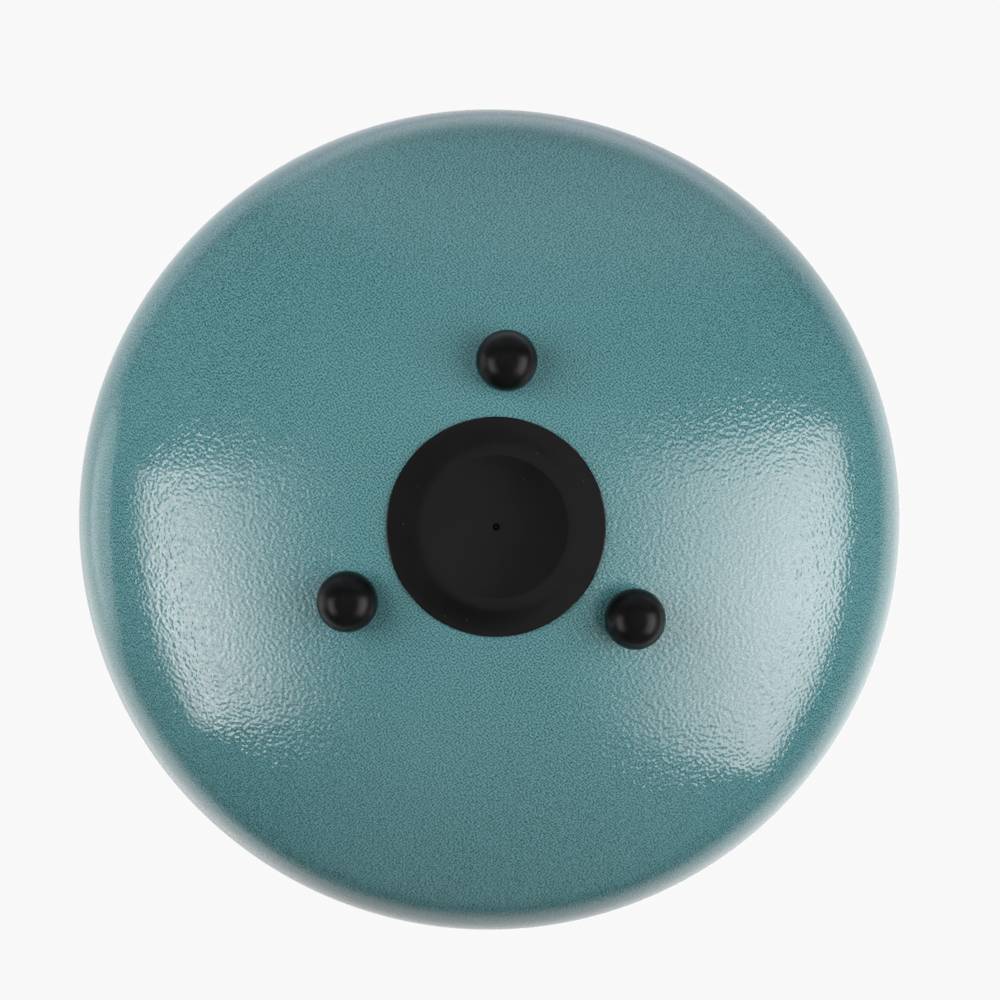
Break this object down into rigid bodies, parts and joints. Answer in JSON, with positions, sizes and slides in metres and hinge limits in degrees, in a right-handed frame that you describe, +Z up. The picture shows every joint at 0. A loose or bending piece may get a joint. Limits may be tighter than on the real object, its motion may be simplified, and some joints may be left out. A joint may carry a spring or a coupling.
{
  "type": "steel tongue drum",
  "caption": "Steel tongue drum: welded pressed domes with sprung tongues cut in the top, a plugged sound hole below and rubber ball feet.",
  "frame": {"origin": "on the floor under the middle of the drum, at the flats of its feet", "axes": "+Z up along the drum's axis, from the sound hole to the playing face; -Y towards the player, where the lowest tongue lies"},
  "size_m": [0.305, 0.305, 0.1656],
  "materials": {
    "hammer_paint": "glossy hammer-finish spray paint",
    "plug_plastic": "satin black moulding",
    "foot_rubber": "satin black",
    "zinc_steel": "zinc plated"
  },
  "bodies": {
    "drum": {"lower_shell": "hammer_paint", "upper_shell": "hammer_paint", "seam_weld": "hammer_paint", "foot_back": "foot_rubber", "foot_left": "foot_rubber", "foot_right": "foot_rubber", "foot_stud_back": "zinc_steel", "foot_stud_left": "zinc_steel", "foot_stud_right": "zinc_steel", "foot_washer_back": "zinc_steel", "foot_washer_left": "zinc_steel", "foot_washer_right": "zinc_steel", "foot_nut_back": "zinc_steel", "foot_nut_left": "zinc_steel", "foot_nut_right": "zinc_steel"},
    "plug": {"plug": "plug_plastic"},
    "tongue_1": {"tongue_1": "hammer_paint"},
    "tongue_2": {"tongue_2": "hammer_paint"},
    "tongue_3": {"tongue_3": "hammer_paint"},
    "tongue_4": {"tongue_4": "hammer_paint"},
    "tongue_5": {"tongue_5": "hammer_paint"},
    "tongue_6": {"tongue_6": "hammer_paint"},
    "tongue_7": {"tongue_7": "hammer_paint"},
    "tongue_8": {"tongue_8": "hammer_paint"},
    "tongue_9": {"tongue_9": "hammer_paint"},
    "tongue_10": {"tongue_10": "hammer_paint"},
    "tongue_11": {"tongue_11": "hammer_paint"}
  },
  "joints": [
    {"name": "plug_pull", "type": "slide", "parent": "drum", "child": "plug", "axis": [0, 0, -1], "range_m": [0, 0.01]},
    {"name": "tongue_1_flex", "type": "hinge", "parent": "drum", "child": "tongue_1", "pos_m": [0, -0.05, 0.15936], "axis": [1, 0, 0], "range_deg": [-1, 1], "stiffness_Nm_per_rad": 14.7},
    {"name": "tongue_2_flex", "type": "hinge", "parent": "drum", "child": "tongue_2", "pos_m": [0.02703, -0.04206, 0.15936], "axis": [0.8413, 0.5406, 0], "range_deg": [-1, 1], "stiffness_Nm_per_rad": 13.1},
    {"name": "tongue_3_flex", "type": "hinge", "parent": "drum", "child": "tongue_3", "pos_m": [-0.02703, -0.04206, 0.15936], "axis": [0.8413, -0.5406, 0], "range_deg": [-1, 1], "stiffness_Nm_per_rad": 11.7},
    {"name": "tongue_4_flex", "type": "hinge", "parent": "drum", "child": "tongue_4", "pos_m": [0.04548, -0.02077, 0.15936], "axis": [0.4154, 0.9096, 0], "range_deg": [-1, 1], "stiffness_Nm_per_rad": 10.4},
    {"name": "tongue_5_flex", "type": "hinge", "parent": "drum", "child": "tongue_5", "pos_m": [-0.04548, -0.02077, 0.15936], "axis": [0.4154, -0.9096, 0], "range_deg": [-1, 1], "stiffness_Nm_per_rad": 9.14},
    {"name": "tongue_6_flex", "type": "hinge", "parent": "drum", "child": "tongue_6", "pos_m": [0.04949, 0.00712, 0.15936], "axis": [-0.1423, 0.9898, 0], "range_deg": [-1, 1], "stiffness_Nm_per_rad": 8.05},
    {"name": "tongue_7_flex", "type": "hinge", "parent": "drum", "child": "tongue_7", "pos_m": [-0.04949, 0.00712, 0.15936], "axis": [-0.1423, -0.9898, 0], "range_deg": [-1, 1], "stiffness_Nm_per_rad": 7.06},
    {"name": "tongue_8_flex", "type": "hinge", "parent": "drum", "child": "tongue_8", "pos_m": [0.03779, 0.03274, 0.15936], "axis": [-0.6549, 0.7557, 0], "range_deg": [-1, 1], "stiffness_Nm_per_rad": 6.17},
    {"name": "tongue_9_flex", "type": "hinge", "parent": "drum", "child": "tongue_9", "pos_m": [-0.03779, 0.03274, 0.15936], "axis": [-0.6549, -0.7557, 0], "range_deg": [-1, 1], "stiffness_Nm_per_rad": 5.36},
    {"name": "tongue_10_flex", "type": "hinge", "parent": "drum", "child": "tongue_10", "pos_m": [0.01409, 0.04797, 0.15936], "axis": [-0.9595, 0.2817, 0], "range_deg": [-1, 1], "stiffness_Nm_per_rad": 4.64},
    {"name": "tongue_11_flex", "type": "hinge", "parent": "drum", "child": "tongue_11", "pos_m": [-0.01409, 0.04797, 0.15936], "axis": [-0.9595, -0.2817, 0], "range_deg": [-1, 1], "stiffness_Nm_per_rad": 4}
  ]
}
